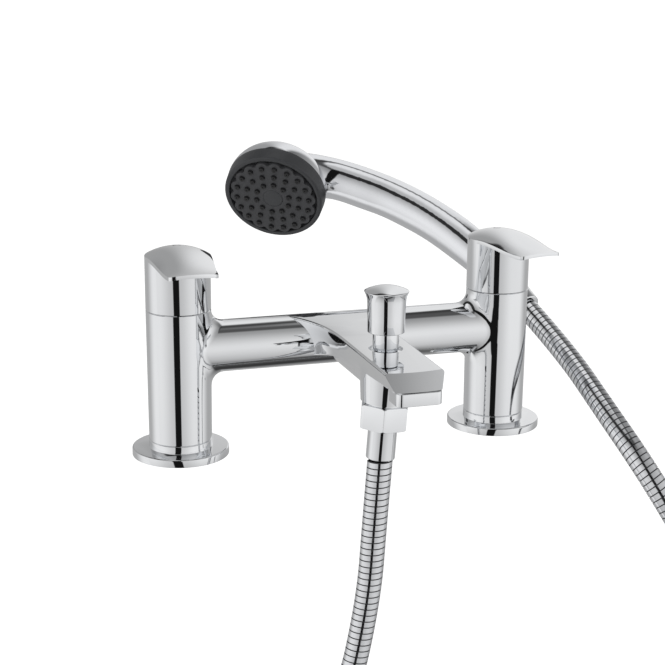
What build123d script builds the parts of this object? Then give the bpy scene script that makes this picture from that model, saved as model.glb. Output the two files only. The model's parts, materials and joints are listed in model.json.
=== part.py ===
from build123d import *
from math import atan2, cos, pi, radians, sin, sqrt, tan
import os

# Deck-mounted bath shower mixer with a handset on a hose, in millimetres, +Z up.
# Origin: on the deck, midway between the two pillars. The spout points along -Y.

# Main layout
pillar_spacing = 180.0
bridge_z = 57.1
outlet_y = -68.0
spout_reach = 110.0

# Clearances
fit_gap = 0.02
running_gap = 0.05
moving_gap = 0.3
cut_overrun = 2.0

# Pillars and bridge
pillar_base_radius = 16.6
pillar_top_radius = 17.0
pillar_top_z = 78.5
spigot_radius = 14.4
seam_chamfer = 0.4
bridge_radius = 13.8
bridge_blend = 7.0
bridge_bore_radius = 9.0

# Base flanges and their rubber rings
flange_radius = 25.6
flange_thickness = 4.2
flange_ring_height = 4.2
flange_edge = 0.8
seal_inner_radius = 18.0
seal_outer_radius = 23.0
seal_thickness = 1.2

# Inlet, riser and valve chamber of each pillar
inlet_radius = 12.05
inlet_depth = 16.0
riser_radius = 6.5
chamber_floor_z = 42.0
chamber_radius = 11.0
headwork_floor_z = 68.0
headwork_radius = 12.5

# Quarter-turn valves
seat_seal_thickness = 1.0
valve_sleeve_radius = 8.5
valve_bore_radius = 6.6
valve_roof_z = 62.0
valve_head_height = 9.5
valve_hex_flats = 20.0
valve_hex_height = 4.0
disc_thickness = 2.4
disc_port_outer_radius = 5.6
disc_port_inner_radius = 2.7
disc_port_half_width = 2.3
valve_window_width = 6.5
valve_window_height = 8.0
spindle_plate_thickness = 3.0
spindle_radius = 4.0
spindle_top_z = 96.0
o_ring_height = 2.0
o_ring_depth = 0.8
stem_seal_z = 71.0

# Lever handles
lever_radius = 17.0
lever_reach = 40.0
lever_root_half_width = 16.9
lever_tip_half_width = 12.5
lever_tip_bulge = 1.6
lever_corner_radius = 2.6
lever_top_z = 111.8
lever_fall = 12.0
lever_lip = 1.9
lever_recess_radius = 13.2
lever_recess_height = 5.6
bush_radius = 6.5
bush_length = 13.0
grub_radius = 2.0
grub_length = 8.0
grub_z = 88.0
right_lever_turn = 12.0
mark_size = 3.4
mark_stroke = 0.7
mark_depth = 0.5
mark_offset = 2.0
# Crown of the lever: share of the reach, fall of its middle and fall of its sides
crown_shares = (
    (-0.5, 0.48, 1.0),
    (-0.25, 0.125, 0.646),
    (0.0, 0.0, 0.525),
    (0.5, 0.233, 0.758),
    (1.05, 0.57, 0.67),
)

# Spout
spout_top_half_width = 15.5
spout_under_half_width = 11.7
spout_root_half_width = 33.0
spout_top_z = 67.0
spout_under_z = 59.0
spout_corner_radius = 1.2
spout_face_lean = 34.0
spout_face_radius = 75.0
# Flare towards the bridge: share of the reach, of the extra width, and of the rise and drop
flare_shares = (
    (0.0, 1.0, 1.0),
    (0.11, 0.5, 0.9),
    (0.22, 0.16, 0.62),
    (0.33, 0.04, 0.45),
    (0.4, 0.01, 0.38),
)
duct_tube_radius = 11.2
duct_tube_z = 55.6
rear_duct_radius = 5.5
rear_duct_z = 54.0
front_duct_width = 15.0
front_duct_low_z = 60.6
front_duct_high_z = 64.8
pocket_width = 19.8
pocket_depth = 8.0
pocket_setback = 2.4
pocket_z = 62.0

# Outlet nozzle and flow straightener
nozzle_width = 23.2
nozzle_depth = 14.6
nozzle_height = 6.4
nozzle_wall = 1.8
nozzle_corner_radius = 3.2
nozzle_spigot_height = 2.4
nozzle_setback = 0.2
straightener_height = 3.6
straightener_slots_each_side = 3
straightener_slot_width = 1.1
straightener_pin_radius = 1.6
straightener_pin_drop = 1.0

# Hose outlet under the spout
boss_top_radius = 14.6
boss_low_radius = 12.4
boss_top_z = 62.0
boss_low_z = 41.0
outlet_lean = 4.0
nut_top_z = 39.8
nipple_radius = 10.4
nipple_length = 7.2
nipple_bore_radius = 6.0
nut_flats = 23.0
nut_height = 12.4
nut_turn = -20.0
nut_chamfer = 0.8
nut_shoulder = 1.6
outlet_washer_thickness = 1.6
ferrule_radius = 7.4
ferrule_flange_radius = 10.1
ferrule_length = 20.2
ferrule_bore_radius = 4.6

# Bath or shower diverter
diverter_bore_radius = 8.2
diverter_floor_z = 44.0
diverter_seat_height = 2.5
diverter_seat_hole_radius = 4.8
diverter_disc_radius = 7.2
diverter_disc_thickness = 1.8
diverter_washer_thickness = 0.8
diverter_travel = 8.0
rod_radius = 2.5
bonnet_foot_radius = 8.6
bonnet_foot_height = 0.8
bonnet_taper_radius = 6.1
bonnet_taper_height = 2.6
bonnet_collar_radius = 6.6
bonnet_top_z = 76.5
bonnet_wall = 1.3
bonnet_window_width = 10.0
bonnet_seal_depth = 1.6
knob_low_radius = 9.4
knob_straight_height = 7.2
knob_waist_radius = 9.75
knob_waist_height = 16.4
knob_rim_radius = 11.3
knob_rim_height = 20.6
knob_crown = 2.8
knob_bore_depth = 9.0

# Handset, head up behind the right pillar
head_x = 4.0
head_y = 151.7
head_z = 107.8
face_azimuth = -121.5
face_elevation = -29.7
plane_roll = -10.36
face_radius = 31.2
rim_radius = 31.6
rim_depth = 9.2
rim_edge_radius = 1.2
head_depth = 34.6
dome_corner_share = 0.84
neck_reach = 33.0
neck_depth = 28.7
neck_radius = 13.0
grip_radius = 12.3
tail_radius = 10.6
grip_bend_radius = 170.5
grip_start_slope = 5.7
grip_end_slope = 48.5
grip_tail_length = 0.8
grip_sections = 8
grip_taper_share = 0.75
handset_wall = 2.2
# Neck inside the head: shares of the neck's reach, depth and radius, and of the turn
neck_shares = (
    (0.05, 0.62, 0.7, 5.2),
    (0.36, 0.82, 1.22, 4.0),
    (0.66, 0.95, 1.1, 1.8),
)

# Handset spray face
mat_radius = 27.2
mat_proud = 0.8
mat_thickness = 3.0
mat_base_thickness = 1.0
mat_seat_width = 1.0
lobe_radius = 4.1
jet_ring_radius_1 = 10.7
jet_ring_radius_2 = 17.0
jet_ring_radius_3 = 23.2
jet_ring_counts = (10, 14, 18)
jet_base_radius = 2.0
jet_tip_radius = 1.4
jet_height = 1.5
jet_hole_radius = 0.5
centre_disc_radius = 6.4
centre_disc_proud = 1.0
centre_disc_edge_radius = 0.6
water_plate_thickness = 2.0
water_plate_hole_radius = 1.0
face_seal_thickness = 1.2

# Handset inlet, conical nut and hose tail
inlet_thread_radius = 7.4
inlet_bore_radius = 4.4
inlet_plug_length = 8.0
inlet_thread_length = 8.0
end_nut_length = 34.0
end_nut_low_radius = 8.6
end_nut_top_radius = 10.3
end_nut_thread_radius = 7.6
end_washer_thickness = 1.6
tail_flange_thickness = 2.8
tail_sleeve_radius = 5.7
tail_bore_radius = 4.4

# Handset cradle on the back of the right pillar
cradle_low = 24.4
cradle_length = 9.4
cradle_wall = 2.8
cradle_edge = 0.6
cradle_slot_width = 15.6
cradle_boss_radius = 5.4
cradle_boss_height = 3.4
arm_radius = 4.6
arm_drop = 25.0
arm_collar_radius = 6.6
arm_collar_length = 4.0
arm_stud_radius = 3.0
arm_stud_length = 3.6
cradle_screw_radius = 1.6
cradle_screw_length = 9.0
cradle_screw_head_radius = 3.0
cradle_screw_head_height = 1.4

# Hose
hose_radius = 6.5
hose_bore_radius = 4.5
hose_rib_count = 196
hose_rib_depth = 0.5
hose_first_run = 32.0
hose_last_run = 40.0
hose_route = [
    (-7.4, -69.0, -66.0),
    (-20.0, -70.0, -124.0),
    (-57.5, -71.5, -177.6),
    (-100.5, -73.0, -234.5),
    (-112.5, -75.0, -295.7),
    (-88.5, -77.5, -356.0),
    (-17.5, -80.5, -397.7),
    (78.0, -84.0, -409.6),
    (172.0, -87.5, -390.9),
    (237.0, -91.0, -345.0),
    (267.0, -94.0, -286.4),
    (269.5, -96.0, -225.1),
    (235.0, -97.0, -166.5),
    (198.0, -95.0, -111.0),
    (174.0, -86.0, -55.0),
    (151.5, -68.0, -12.0),
    (141.0, -36.0, 14.5),
]
# Ribs: share of the pitch at which each circle lies, and its share of the rib's depth
rib_shares = ((0.0, 0.0), (0.2, 1.0), (0.72, 1.0), (0.92, 0.0))
arc_share = 0.45

# Worked-out places
side_x = {"left": -pillar_spacing / 2, "right": pillar_spacing / 2}
side_turn = {"left": 0.0, "right": right_lever_turn}
flange_top_z = flange_thickness + flange_ring_height
bonnet_seat_z = spout_top_z - bonnet_foot_height
seat_top_z = chamber_floor_z + seat_seal_thickness
fixed_disc_top_z = seat_top_z + disc_thickness
moving_disc_top_z = fixed_disc_top_z + disc_thickness
plate_top_z = moving_disc_top_z + spindle_plate_thickness
valve_head_top_z = headwork_floor_z + valve_head_height
lever_low_z = pillar_top_z + moving_gap
bush_low_z = lever_low_z + lever_recess_height
diverter_rest_z = diverter_floor_z + diverter_seat_height
diverter_stack = 2 * diverter_washer_thickness + diverter_disc_thickness
upper_seat_z = diverter_rest_z + diverter_stack + diverter_travel + running_gap
knob_low_z = bonnet_top_z + moving_gap
bonnet_collar_z = bonnet_seat_z + bonnet_foot_height + bonnet_taper_height
nozzle_y = nozzle_setback - spout_reach
pocket_y = pocket_setback - spout_reach
nozzle_low_z = spout_under_z - nozzle_height
jet_ring_radii = (jet_ring_radius_1, jet_ring_radius_2, jet_ring_radius_3)
mat_floor = mat_thickness + mat_base_thickness
head_pocket_radius = rim_radius - handset_wall
tail_flange_low = end_nut_length - inlet_thread_length - end_washer_thickness - tail_flange_thickness


def save(name, shape):
    solids = list(shape.solids())
    whole = solids[0] if len(solids) == 1 else Compound(children=solids)
    export_step(whole, os.path.join("parts", name + ".step"))


def rod(low, high, radius, x=0.0, y=0.0, top_radius=None):
    align = (Align.CENTER, Align.CENTER, Align.MIN)
    place = Pos(x, y, low)
    if top_radius is None or top_radius == radius:
        return place * Cylinder(radius, high - low, align=align)
    return place * Cone(radius, top_radius, high - low, align=align)


def ring(low, high, inner, outer, x=0.0, y=0.0):
    return rod(low, high, outer, x, y) - rod(low - cut_overrun, high + cut_overrun, inner, x, y)


def block(x_range, y_range, z_range):
    size = [high - low for low, high in (x_range, y_range, z_range)]
    place = Pos(x_range[0], y_range[0], z_range[0])
    return place * Box(*size, align=(Align.MIN, Align.MIN, Align.MIN))


def round_block(width, depth, corner, y, low, high):
    return Pos(0, y, low) * extrude(RectangleRounded(width, depth, corner), high - low)


def along_y(radius, start, end, z, x=0.0):
    bar = Cylinder(radius, end - start, align=(Align.CENTER, Align.CENTER, Align.MAX))
    return Pos(x, start, z) * Rot(90, 0, 0) * bar


def circle_edges(shape):
    return shape.edges().filter_by(GeomType.CIRCLE)


def top_circle(shape):
    return circle_edges(shape).sort_by(Axis.Z)[-1]


def hexagon(low, high, flats, edge, x=0.0, turn=0.0):
    corner_radius = flats / sqrt(3)
    prism = extrude(Rot(0, 0, turn) * RegularPolygon(corner_radius, 6), high - low)
    drum = rod(low, high, corner_radius, x)
    return Pos(x, 0, low) * prism & chamfer(circle_edges(drum), edge)


# Casting: pillars, bridge, spout and hose outlet in one piece

def spout_section(y, half_top, half_under, top_z, under_z):
    corners = [(-half_top, top_z), (half_top, top_z), (half_under, under_z), (-half_under, under_z)]
    flat = make_face(Polyline(*corners, close=True))
    flat = fillet(flat.vertices(), spout_corner_radius)
    return Plane(origin=(0, y, 0), x_dir=(1, 0, 0), z_dir=(0, -1, 0)) * flat


def flare_section(reach_share, width_share, height_share):
    spare = (spout_root_half_width - spout_top_half_width) * width_share
    rise = (bridge_z + bridge_radius - spout_top_z) * height_share
    drop = (spout_under_z - bridge_z + bridge_radius / 2) * height_share
    return spout_section(
        -spout_reach * reach_share,
        spout_top_half_width + spare,
        spout_under_half_width + spare,
        spout_top_z + rise,
        spout_under_z - drop,
    )


def spout_slab():
    root_faces = [flare_section(*shares) for shares in flare_shares]
    root = loft(root_faces)
    tip_face = spout_section(
        -spout_reach - spout_top_half_width,
        spout_top_half_width,
        spout_under_half_width,
        spout_top_z,
        spout_under_z,
    )
    front = loft([root_faces[-1], tip_face], ruled=True)
    axis_y = spout_face_radius / cos(radians(spout_face_lean)) - spout_reach
    drum = Rot(-spout_face_lean, 0, 0) * Cylinder(spout_face_radius, 4 * spout_face_radius)
    return root + (front & Pos(0, axis_y, spout_top_z) * drum)


def outlet_plane():
    lean = radians(outlet_lean)
    return Plane(origin=(0, outlet_y, nut_top_z), x_dir=(0, 1, 0), z_dir=(sin(lean), 0, cos(lean)))


def on_outlet(shape):
    return outlet_plane().location * shape


def pillars_and_bridge():
    body = Pos(0, 0, bridge_z) * Rot(0, 90, 0) * Cylinder(bridge_radius, pillar_spacing)
    for x in side_x.values():
        pillar = rod(flange_top_z, pillar_top_z, pillar_base_radius, x, 0, pillar_top_radius)
        body = body + chamfer(circle_edges(pillar), seam_chamfer)
    corners = [
        edge
        for edge in body.edges()
        if edge.geom_type not in (GeomType.CIRCLE, GeomType.LINE)
        and abs(edge.center().X) < pillar_spacing / 2
    ]
    return fillet(corners, bridge_blend)


def outer_casting():
    body = pillars_and_bridge()
    for x in side_x.values():
        body = body + rod(0, flange_top_z, spigot_radius, x)
    body = body + along_y(duct_tube_radius, outlet_y, 0, duct_tube_z)
    body = body + spout_slab()
    boss_low = boss_low_z - nut_top_z
    boss_high = boss_top_z - nut_top_z
    body = body + on_outlet(rod(boss_low, boss_high, boss_low_radius, 0, 0, boss_top_radius))
    return body + on_outlet(rod(-nipple_length, boss_high - cut_overrun, nipple_radius))


def pillar_bores(x):
    return [
        rod(-cut_overrun, inlet_depth, inlet_radius, x),
        rod(0, chamber_floor_z + cut_overrun, riser_radius, x),
        rod(chamber_floor_z, headwork_floor_z + cut_overrun, chamber_radius, x),
        rod(headwork_floor_z, pillar_top_z + cut_overrun, headwork_radius, x),
    ]


def spout_bores():
    half_duct = front_duct_width / 2
    nipple_top = diverter_floor_z - nut_top_z + cut_overrun
    tip_y = -spout_reach - spout_top_half_width
    return [
        along_y(rear_duct_radius, outlet_y, 0, rear_duct_z),
        rod(diverter_floor_z, bonnet_seat_z + cut_overrun, diverter_bore_radius, 0, outlet_y),
        rod(bonnet_seat_z, bonnet_top_z, bonnet_foot_radius + fit_gap, 0, outlet_y),
        on_outlet(rod(-nipple_length - cut_overrun, nipple_top, nipple_bore_radius)),
        block((-half_duct, half_duct), (pocket_y, outlet_y), (front_duct_low_z, front_duct_high_z)),
        round_block(pocket_width, pocket_depth, nozzle_corner_radius / 2, pocket_y, nozzle_low_z, pocket_z),
        block(
            (-nozzle_width, nozzle_width),
            (tip_y, nozzle_y + nozzle_depth / 2 + moving_gap),
            (nozzle_low_z, spout_under_z),
        ),
    ]


def mixer_body():
    body = outer_casting()
    body = body - Pos(0, 0, bridge_z) * Rot(0, 90, 0) * Cylinder(bridge_bore_radius, pillar_spacing)
    cuts = spout_bores()
    for x in side_x.values():
        cuts = cuts + pillar_bores(x)
    for cut in cuts:
        body = body - cut
    return body - arm_stud(fit_gap)


# Base flange and the rubber ring in its groove

def base_flange(x):
    disc = rod(0, flange_thickness, flange_radius, x)
    disc = fillet(top_circle(disc), flange_edge)
    collar = rod(0, flange_top_z, pillar_base_radius, x)
    collar = chamfer(top_circle(collar), seam_chamfer)
    flange = disc + collar - rod(-cut_overrun, flange_top_z + cut_overrun, spigot_radius + fit_gap, x)
    return flange - ring(-cut_overrun, seal_thickness, seal_inner_radius, seal_outer_radius, x)


def base_seal(x):
    return ring(0, seal_thickness, seal_inner_radius + fit_gap, seal_outer_radius - fit_gap, x)


# Quarter-turn valve of each pillar

def seat_seal(x):
    return ring(chamber_floor_z, seat_top_z, valve_bore_radius, valve_sleeve_radius, x)


def valve_body(x):
    hex_top_z = valve_head_top_z + valve_hex_height
    body = rod(seat_top_z, headwork_floor_z, valve_sleeve_radius, x)
    body = body + rod(headwork_floor_z, valve_head_top_z, headwork_radius - fit_gap, x)
    body = body + hexagon(valve_head_top_z, hex_top_z, valve_hex_flats, seam_chamfer, x)
    body = body - rod(seat_top_z - cut_overrun, valve_roof_z, valve_bore_radius, x)
    body = body - rod(seat_top_z, hex_top_z + cut_overrun, spindle_radius + running_gap, x)
    half = valve_window_width / 2
    window_low = plate_top_z + running_gap
    reach = chamber_radius
    return body - block((x - reach, x + reach), (-half, half), (window_low, window_low + valve_window_height))


def port_pair(low, high, turn):
    half = disc_port_half_width
    reach = valve_bore_radius
    strip = Rot(0, 0, turn) * block((-reach, reach), (-half, half), (low, high))
    return strip & ring(low, high, disc_port_inner_radius, disc_port_outer_radius)


def on_valve(side, shape):
    return Pos(side_x[side], 0, 0) * Rot(0, 0, side_turn[side]) * shape


def fixed_disc(x):
    disc = rod(seat_top_z, fixed_disc_top_z, valve_bore_radius - running_gap)
    return Pos(x, 0, 0) * (disc - port_pair(seat_top_z, fixed_disc_top_z, 0))


def moving_disc():
    disc = rod(fixed_disc_top_z, moving_disc_top_z, valve_bore_radius - running_gap)
    return disc - port_pair(fixed_disc_top_z, moving_disc_top_z, 90)


def spindle():
    body = rod(moving_disc_top_z, plate_top_z, valve_bore_radius - running_gap)
    body = body + rod(moving_disc_top_z, spindle_top_z, spindle_radius)
    body = body - port_pair(moving_disc_top_z, plate_top_z, 90)
    groove_radius = spindle_radius - o_ring_depth
    return body - ring(stem_seal_z, stem_seal_z + o_ring_height, groove_radius, valve_bore_radius)


def stem_seal():
    groove_radius = spindle_radius - o_ring_depth
    return ring(stem_seal_z, stem_seal_z + o_ring_height, groove_radius, spindle_radius + fit_gap)


# Lever handle, drawn on the valve's axis and pointing along -Y

def lever_outline():
    root_y = -sqrt(lever_radius ** 2 - lever_root_half_width ** 2)
    tip_y = lever_tip_bulge - lever_reach
    left_tip = (-lever_tip_half_width, tip_y)
    right_tip = (lever_tip_half_width, tip_y)
    left_root = (-lever_root_half_width, root_y)
    right_root = (lever_root_half_width, root_y)
    left_back = (-lever_root_half_width, 0)
    right_back = (lever_root_half_width, 0)
    front = ThreePointArc(left_tip, (0, -lever_reach), right_tip)
    rest = Polyline(right_tip, right_root, right_back, left_back, left_root, left_tip)
    tongue = make_face(front + rest)
    tongue = fillet(tongue.vertices().sort_by(Axis.Y)[:2], lever_corner_radius)
    return tongue + Circle(lever_radius)


def crown_block(lowered):
    half = lever_radius + cut_overrun
    floor_z = pillar_top_z
    faces = []
    for reach_share, middle_share, side_share in crown_shares:
        middle = lever_top_z - lever_fall * middle_share - lowered
        side = lever_top_z - lever_fall * side_share - lowered
        arc = ThreePointArc((-half, side), (0, middle), (half, side))
        rest = Polyline((half, side), (half, floor_z), (-half, floor_z), (-half, side))
        plane = Plane(origin=(0, -lever_reach * reach_share, 0), x_dir=(-1, 0, 0), z_dir=(0, 1, 0))
        faces.append(plane * make_face(arc + rest))
    return loft(faces)


def lever_solid():
    prism = Pos(0, 0, lever_low_z) * extrude(lever_outline(), lever_top_z - lever_low_z)
    column = rod(lever_low_z - cut_overrun, lever_top_z, lever_radius, 0, 0, lever_radius)
    under_lip = crown_block(lever_lip) - column
    return (prism & crown_block(0)) - under_lip


def grub_bore(radius, start, end):
    return along_y(radius, start, end, grub_z)


def lever_cavity(lever):
    lever = lever - rod(pillar_top_z - cut_overrun, bush_low_z, lever_recess_radius)
    lever = lever - rod(bush_low_z - cut_overrun, bush_low_z + bush_length, bush_radius + fit_gap)
    return lever - grub_bore(grub_radius + fit_gap, 0, lever_radius + cut_overrun)


def mark_letter(side):
    half = mark_size / 2
    if side == "left":
        letter = Rectangle(mark_size, mark_stroke)
        letter = letter + Pos(-half, 0) * Rectangle(mark_stroke, mark_size)
        letter = letter + Pos(half, 0) * Rectangle(mark_stroke, mark_size)
    else:
        letter = Circle(half + mark_stroke / 2) - Circle(half - mark_stroke / 2)
        letter = letter - Pos(half, 0) * Rectangle(mark_size, half)
    low_z = lever_top_z - lever_fall / 2
    return Pos(0, mark_offset, low_z) * extrude(letter, lever_top_z - low_z)


def spline_bush():
    bush = rod(bush_low_z, bush_low_z + bush_length, bush_radius)
    bush = bush - rod(bush_low_z - cut_overrun, spindle_top_z, spindle_radius + fit_gap)
    return bush - grub_bore(grub_radius + fit_gap, 0, bush_radius + cut_overrun)


def handle_pieces(side):
    lever = lever_solid()
    mark = (lever & mark_letter(side)) - Pos(0, 0, -mark_depth) * lever
    grub_start = spindle_radius + fit_gap
    return {
        "_handle": lever_cavity(lever) - mark,
        "_temperature_mark": mark,
        "_spline_bush": spline_bush(),
        "_grub_screw": grub_bore(grub_radius, grub_start, grub_start + grub_length),
    }


# Outlet nozzle under the spout's tip

def outlet_nozzle():
    collar = round_block(nozzle_width, nozzle_depth, nozzle_corner_radius, nozzle_y, nozzle_low_z, spout_under_z)
    width = pocket_width - 2 * fit_gap
    depth = pocket_depth - 2 * fit_gap
    spigot_top_z = spout_under_z + nozzle_spigot_height
    spigot = round_block(width, depth, nozzle_corner_radius / 2, pocket_y, spout_under_z, spigot_top_z)
    bore = round_block(
        width - 2 * nozzle_wall,
        depth - 2 * nozzle_wall,
        nozzle_corner_radius / 2,
        pocket_y,
        nozzle_low_z - cut_overrun,
        spigot_top_z + cut_overrun,
    )
    return collar + spigot - bore


def flow_straightener():
    top_z = nozzle_low_z + straightener_height
    width = pocket_width - 2 * nozzle_wall - 4 * fit_gap
    depth = pocket_depth - 2 * nozzle_wall - 4 * fit_gap
    plate = round_block(width, depth, nozzle_corner_radius / 2, pocket_y, nozzle_low_z, top_z)
    pitch = width / 2 / (straightener_slots_each_side + 1)
    half = straightener_slot_width / 2
    for step in range(1, straightener_slots_each_side + 1):
        for x in (-step * pitch, step * pitch):
            slot_y = (pocket_y - depth / 3, pocket_y + depth / 3)
            plate = plate - block((x - half, x + half), slot_y, (nozzle_low_z, top_z))
    pin_low_z = nozzle_low_z - straightener_pin_drop
    return plate + rod(pin_low_z, top_z, straightener_pin_radius, 0, pocket_y)


# Diverter between the spout and the hose

def diverter_seat():
    outer = diverter_bore_radius - fit_gap
    return ring(diverter_floor_z, diverter_rest_z - fit_gap, diverter_seat_hole_radius, outer, 0, outlet_y)


def diverter_disc():
    low = diverter_rest_z + diverter_washer_thickness
    return ring(low, low + diverter_disc_thickness, rod_radius, diverter_disc_radius, 0, outlet_y)


def diverter_washers():
    outer = diverter_disc_radius - fit_gap
    high = diverter_rest_z + diverter_stack
    lower = ring(diverter_rest_z, diverter_rest_z + diverter_washer_thickness, rod_radius, outer, 0, outlet_y)
    upper = ring(high - diverter_washer_thickness, high, rod_radius, outer, 0, outlet_y)
    return Compound(children=[lower.solid(), upper.solid()])


def diverter_rod():
    return rod(diverter_rest_z, knob_low_z + knob_bore_depth, rod_radius, 0, outlet_y)


def diverter_bonnet():
    taper_z = bonnet_seat_z + bonnet_foot_height
    body = rod(bonnet_seat_z, taper_z, bonnet_foot_radius, 0, outlet_y)
    body = body + rod(taper_z, bonnet_collar_z, bonnet_taper_radius, 0, outlet_y, bonnet_collar_radius)
    collar = rod(bonnet_collar_z, bonnet_top_z, bonnet_collar_radius, 0, outlet_y)
    body = body + chamfer(top_circle(collar), seam_chamfer)
    body = body + rod(upper_seat_z, taper_z, diverter_bore_radius - fit_gap, 0, outlet_y)
    skirt_radius = diverter_bore_radius - bonnet_wall
    body = body - rod(upper_seat_z + bonnet_wall, front_duct_high_z, skirt_radius, 0, outlet_y)
    body = body - rod(upper_seat_z - cut_overrun, front_duct_low_z, diverter_seat_hole_radius, 0, outlet_y)
    half = bonnet_window_width / 2
    window_y = (outlet_y - 2 * diverter_bore_radius, outlet_y)
    body = body - block((-half, half), window_y, (front_duct_low_z, front_duct_high_z))
    body = body - rod(upper_seat_z, bonnet_top_z + cut_overrun, rod_radius + running_gap, 0, outlet_y)
    return body - bonnet_groove(0)


def bonnet_groove(gap):
    return rod(bonnet_collar_z, bonnet_collar_z + o_ring_height, rod_radius + bonnet_seal_depth - gap, 0, outlet_y)


def bonnet_seal():
    bore = rod(bonnet_seat_z, bonnet_top_z, rod_radius + running_gap, 0, outlet_y)
    return bonnet_groove(fit_gap) - bore


def diverter_knob():
    straight_z = knob_low_z + knob_straight_height
    waist_z = knob_low_z + knob_waist_height
    rim_z = knob_low_z + knob_rim_height
    top_z = rim_z + knob_crown
    waist_mid = ((knob_low_radius + knob_waist_radius) / 2, (straight_z + waist_z) / 2)
    flare_mid = (knob_waist_radius + (knob_rim_radius - knob_waist_radius) / 3, (waist_z + rim_z) / 2)
    crown_radius = (knob_rim_radius ** 2 + knob_crown ** 2) / (2 * knob_crown)
    crown_mid_z = top_z - crown_radius + sqrt(crown_radius ** 2 - (knob_rim_radius / 2) ** 2)
    crown_mid = (knob_rim_radius / 2, crown_mid_z)
    edge = Polyline((0, knob_low_z), (knob_low_radius, knob_low_z), (knob_low_radius, straight_z))
    edge = edge + Line((knob_low_radius, straight_z), waist_mid)
    edge = edge + Line(waist_mid, (knob_waist_radius, waist_z))
    edge = edge + ThreePointArc((knob_waist_radius, waist_z), flare_mid, (knob_rim_radius, rim_z))
    edge = edge + ThreePointArc((knob_rim_radius, rim_z), crown_mid, (0, top_z))
    edge = edge + Line((0, top_z), (0, knob_low_z))
    knob = Pos(0, outlet_y, 0) * revolve(Plane.XZ * make_face(edge), Axis.Z)
    bore_high = knob_low_z + knob_bore_depth
    return knob - rod(knob_low_z - cut_overrun, bore_high, rod_radius + fit_gap, 0, outlet_y)


# Hose outlet pieces, on the leaning outlet axis with zero at the nut's top

def outlet_washer():
    low = -nipple_length - outlet_washer_thickness
    return on_outlet(ring(low, -nipple_length, nipple_bore_radius, nipple_radius - fit_gap))


def outlet_nut():
    nut = hexagon(-nut_height, 0, nut_flats, nut_chamfer, 0, nut_turn)
    nut = nut - rod(nut_shoulder - nut_height, cut_overrun, nipple_radius + fit_gap)
    return on_outlet(nut - rod(-nut_height - cut_overrun, 0, ferrule_radius + running_gap))


def ferrule_top():
    return -nipple_length - outlet_washer_thickness


def ferrule_low():
    return ferrule_top() - ferrule_length


def outlet_ferrule():
    sleeve = rod(ferrule_low(), ferrule_top(), ferrule_radius)
    sleeve = chamfer(circle_edges(sleeve).sort_by(Axis.Z)[0], seam_chamfer)
    body = sleeve + rod(nut_shoulder - nut_height, ferrule_top(), ferrule_flange_radius)
    return on_outlet(body - rod(ferrule_low() - cut_overrun, 0, ferrule_bore_radius))


# Handset: its own plane holds the face's axis and the curved grip

def handset_axes():
    azimuth = radians(face_azimuth)
    elevation = radians(face_elevation)
    normal = Vector(cos(elevation) * cos(azimuth), cos(elevation) * sin(azimuth), sin(elevation))
    level = Vector(-sin(azimuth), cos(azimuth), 0)
    rise = normal.cross(level)
    roll = radians(plane_roll)
    return level * cos(roll) + rise * sin(roll), normal


def handset_plane(reach, depth, slope, extra=0.0):
    along, normal = handset_axes()
    turn = radians(slope)
    heading = along * cos(turn) + normal * sin(turn)
    origin = Vector(head_x, head_y, head_z) + along * reach - normal * depth + heading * extra
    return Plane(origin=origin, x_dir=along.cross(normal), z_dir=heading)


def grip_plane(slope, extra=0.0):
    start = radians(grip_start_slope)
    turn = radians(slope)
    reach = neck_reach + grip_bend_radius * (sin(turn) - sin(start))
    depth = neck_depth - grip_bend_radius * (cos(start) - cos(turn))
    return handset_plane(reach, depth, slope, extra)


def end_plane(distance):
    return grip_plane(grip_end_slope, grip_tail_length + end_nut_length - distance)


def on_face(shape):
    along, normal = handset_axes()
    face = Plane(origin=(head_x, head_y, head_z), x_dir=along, z_dir=normal)
    return face.location * shape


def on_end(shape):
    return end_plane(0).location * Rot(180, 0, 0) * shape


def grip_radius_at(share):
    if share < grip_taper_share:
        return neck_radius + (grip_radius - neck_radius) * share / grip_taper_share
    rest_share = (share - grip_taper_share) / (1 - grip_taper_share)
    return grip_radius + (tail_radius - grip_radius) * rest_share


def grip(inset, overrun):
    faces = []
    for reach_share, depth_share, radius_share, turns in neck_shares:
        plane = handset_plane(neck_reach * reach_share, neck_depth * depth_share, -turns * grip_start_slope)
        faces.append(plane * Circle(neck_radius * radius_share - inset))
    for step in range(grip_sections + 1):
        share = step / grip_sections
        slope = grip_start_slope + (grip_end_slope - grip_start_slope) * share
        faces.append(grip_plane(slope) * Circle(grip_radius_at(share) - inset))
    faces.append(grip_plane(grip_end_slope, grip_tail_length + overrun) * Circle(tail_radius - inset))
    return loft(faces)


def head_dome(rim, depth):
    height = depth - rim_depth
    corner = height * dome_corner_share
    shift = rim - corner
    crown = (shift * shift + height * height - corner * corner) / (height - corner) / 2
    turn = atan2(shift, crown - height)
    join = (crown * sin(turn), height - crown + crown * cos(turn))
    rim_turn = (pi / 2 - turn) / 2
    rim_mid = (shift + corner * cos(rim_turn), corner * sin(rim_turn))
    crown_mid = (crown * sin(turn / 2), height - crown + crown * cos(turn / 2))
    edges = ThreePointArc((rim, 0), rim_mid, join) + ThreePointArc(join, crown_mid, (0, height))
    edges = edges + Line((0, height), (0, 0)) + Line((0, 0), (rim, 0))
    face = Plane(origin=(0, 0, -rim_depth), x_dir=(1, 0, 0), z_dir=(0, 1, 0)) * make_face(edges)
    return revolve(face, Axis.Z)


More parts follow.
